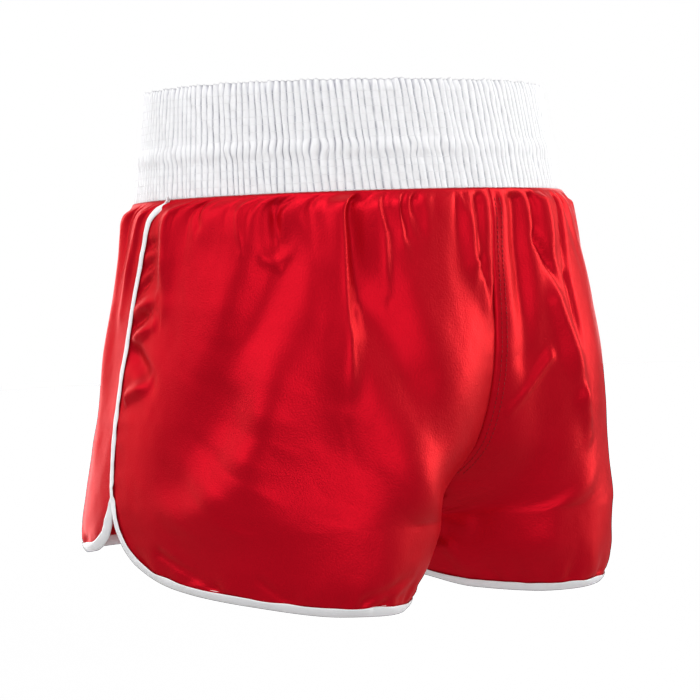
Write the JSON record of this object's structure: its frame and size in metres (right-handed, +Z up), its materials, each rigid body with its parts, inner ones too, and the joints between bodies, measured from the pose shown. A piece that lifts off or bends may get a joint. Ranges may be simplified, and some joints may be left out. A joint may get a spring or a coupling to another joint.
{
  "type": "boxing shorts",
  "caption": "Short satin boxing shorts with a wide shirred elastic waistband, bound and vented curved hems, and piping along the side seams.",
  "frame": {"origin": "centre of the waist opening, in the plane of the waistband's top edge", "axes": "+Z up out of the waist opening, -Y to the wearer's front, +X to the wearer's left"},
  "size_m": [0.392, 0.3035, 0.3609],
  "materials": {
    "shorts_satin": "polyester satin, red, soft gloss",
    "band_satin": "polyester satin, white, shirred",
    "binding": "polyester satin tape, white, folded",
    "elastic": "woven elastic tape, off-white, matt",
    "white_thread": "spun polyester sewing thread, white",
    "red_thread": "spun polyester sewing thread, red",
    "label": "woven taffeta label, blank"
  },
  "bodies": {
    "root": {"waistband_outer": "band_satin", "waistband_facing": "band_satin", "waistband_stitching": "white_thread", "waist_seam_stitching": "white_thread", "upper_elastic": "elastic", "lower_elastic": "elastic", "front_panel_left": "shorts_satin", "front_panel_right": "shorts_satin", "back_panel_left": "shorts_satin", "back_panel_right": "shorts_satin", "front_binding_left": "binding", "front_binding_right": "binding", "back_binding_left": "binding", "back_binding_right": "binding", "front_rise_stitching": "red_thread", "back_rise_stitching": "red_thread", "inseam_stitching_left": "red_thread", "inseam_stitching_right": "red_thread", "side_stitching_left": "white_thread", "side_stitching_right": "white_thread", "size_label": "label"}
  },
  "joints": []
}
